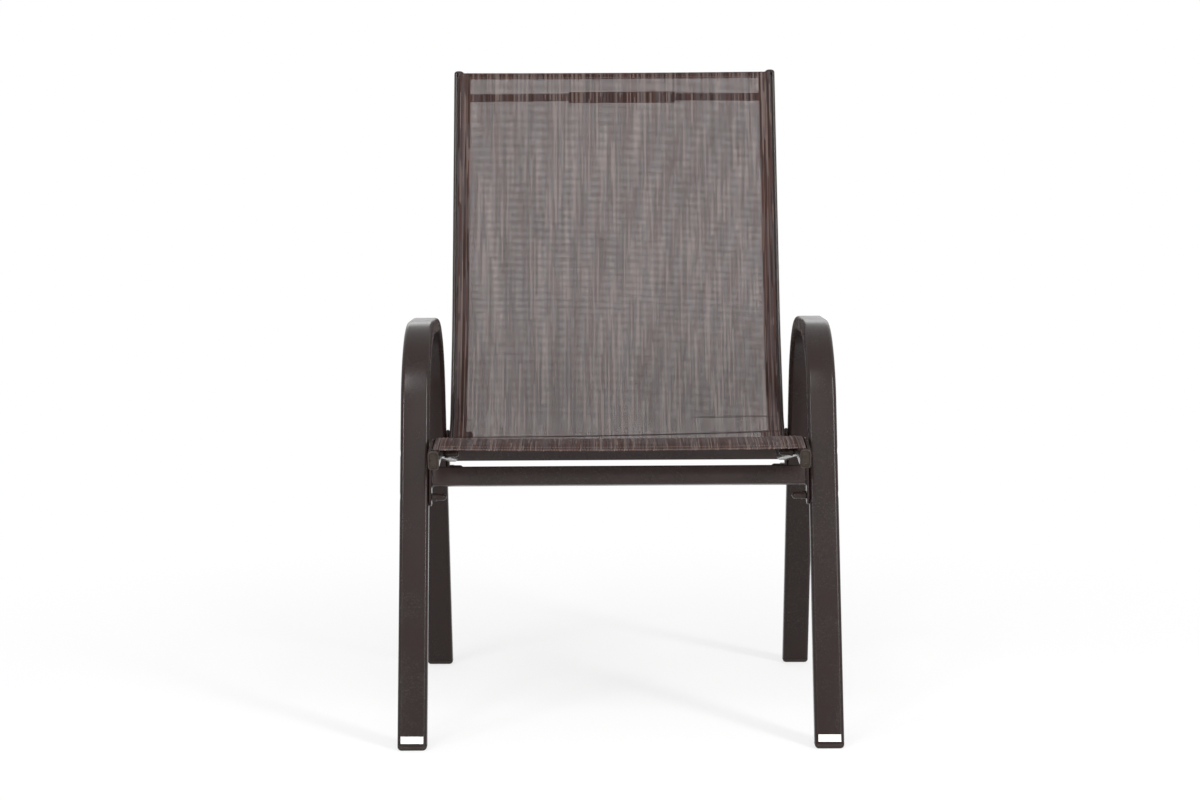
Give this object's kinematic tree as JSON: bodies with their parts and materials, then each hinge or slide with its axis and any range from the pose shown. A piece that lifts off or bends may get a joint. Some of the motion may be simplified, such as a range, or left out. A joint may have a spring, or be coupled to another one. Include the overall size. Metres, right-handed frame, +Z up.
{
  "type": "sling patio chair",
  "caption": "Stacking patio armchair with bent flat-oval tube side frames, bolted stretchers and a see-through woven sling stretched between two bent rails.",
  "frame": {"origin": "on the floor, below the middle of the whole chair's box", "axes": "+X to the right as seen from the front, +Y to the back of the chair, +Z up; the chair faces -Y"},
  "size_m": [0.574, 0.6832, 0.893],
  "materials": {
    "frame_coat": "dark brown powder coat, satin",
    "rail_coat": "dark brown powder coat, satin",
    "front_cap_plastic": "olive brown moulded plastic, satin",
    "dark_plastic": "very dark brown moulded plastic, satin",
    "spline_plastic": "extruded plastic rod",
    "sling_mesh": "open plain weave of coated yarn, brown, grey and taupe streaks",
    "dark_steel": "blackened steel",
    "nut_cover": "dark brown covered cap nut"
  },
  "bodies": {
    "root": {"side_frame_left": "frame_coat", "sling_rail_left": "rail_coat", "rail_cap_front_left": "front_cap_plastic", "rail_cap_top_left": "dark_plastic", "sling_spline_left": "spline_plastic", "spreader_bar_left": "rail_coat", "foot_cap_front_left": "dark_plastic", "foot_cap_rear_left": "dark_plastic", "side_frame_right": "frame_coat", "sling_rail_right": "rail_coat", "rail_cap_front_right": "front_cap_plastic", "rail_cap_top_right": "dark_plastic", "sling_spline_right": "spline_plastic", "spreader_bar_right": "rail_coat", "foot_cap_front_right": "dark_plastic", "foot_cap_rear_right": "dark_plastic", "sling": "sling_mesh", "spreader_sleeve": "rail_coat", "spreader_ring": "dark_steel", "front_stretcher": "frame_coat", "stretcher_plate_front_left": "frame_coat", "rail_spacer_front_left": "dark_plastic", "stretcher_plate_front_right": "frame_coat", "rail_spacer_front_right": "dark_plastic", "rear_stretcher": "frame_coat", "stretcher_plate_rear_left": "frame_coat", "rail_spacer_rear_left": "dark_plastic", "stretcher_plate_rear_right": "frame_coat", "rail_spacer_rear_right": "dark_plastic", "bolt_front_upper_left": "dark_steel", "washer_front_upper_left": "dark_steel", "cap_nut_front_upper_left": "nut_cover", "bolt_front_upper_right": "dark_steel", "washer_front_upper_right": "dark_steel", "cap_nut_front_upper_right": "nut_cover", "bolt_rear_upper_left": "dark_steel", "washer_rear_upper_left": "dark_steel", "cap_nut_rear_upper_left": "nut_cover", "bolt_rear_upper_right": "dark_steel", "washer_rear_upper_right": "dark_steel", "cap_nut_rear_upper_right": "nut_cover", "bolt_front_lower_left": "dark_steel", "washer_front_lower_left": "dark_steel", "cap_nut_front_lower_left": "nut_cover", "bolt_front_lower_right": "dark_steel", "washer_front_lower_right": "dark_steel", "cap_nut_front_lower_right": "nut_cover", "bolt_rear_lower_left": "dark_steel", "washer_rear_lower_left": "dark_steel", "cap_nut_rear_lower_left": "nut_cover", "bolt_rear_lower_right": "dark_steel", "washer_rear_lower_right": "dark_steel", "cap_nut_rear_lower_right": "nut_cover"}
  },
  "joints": []
}
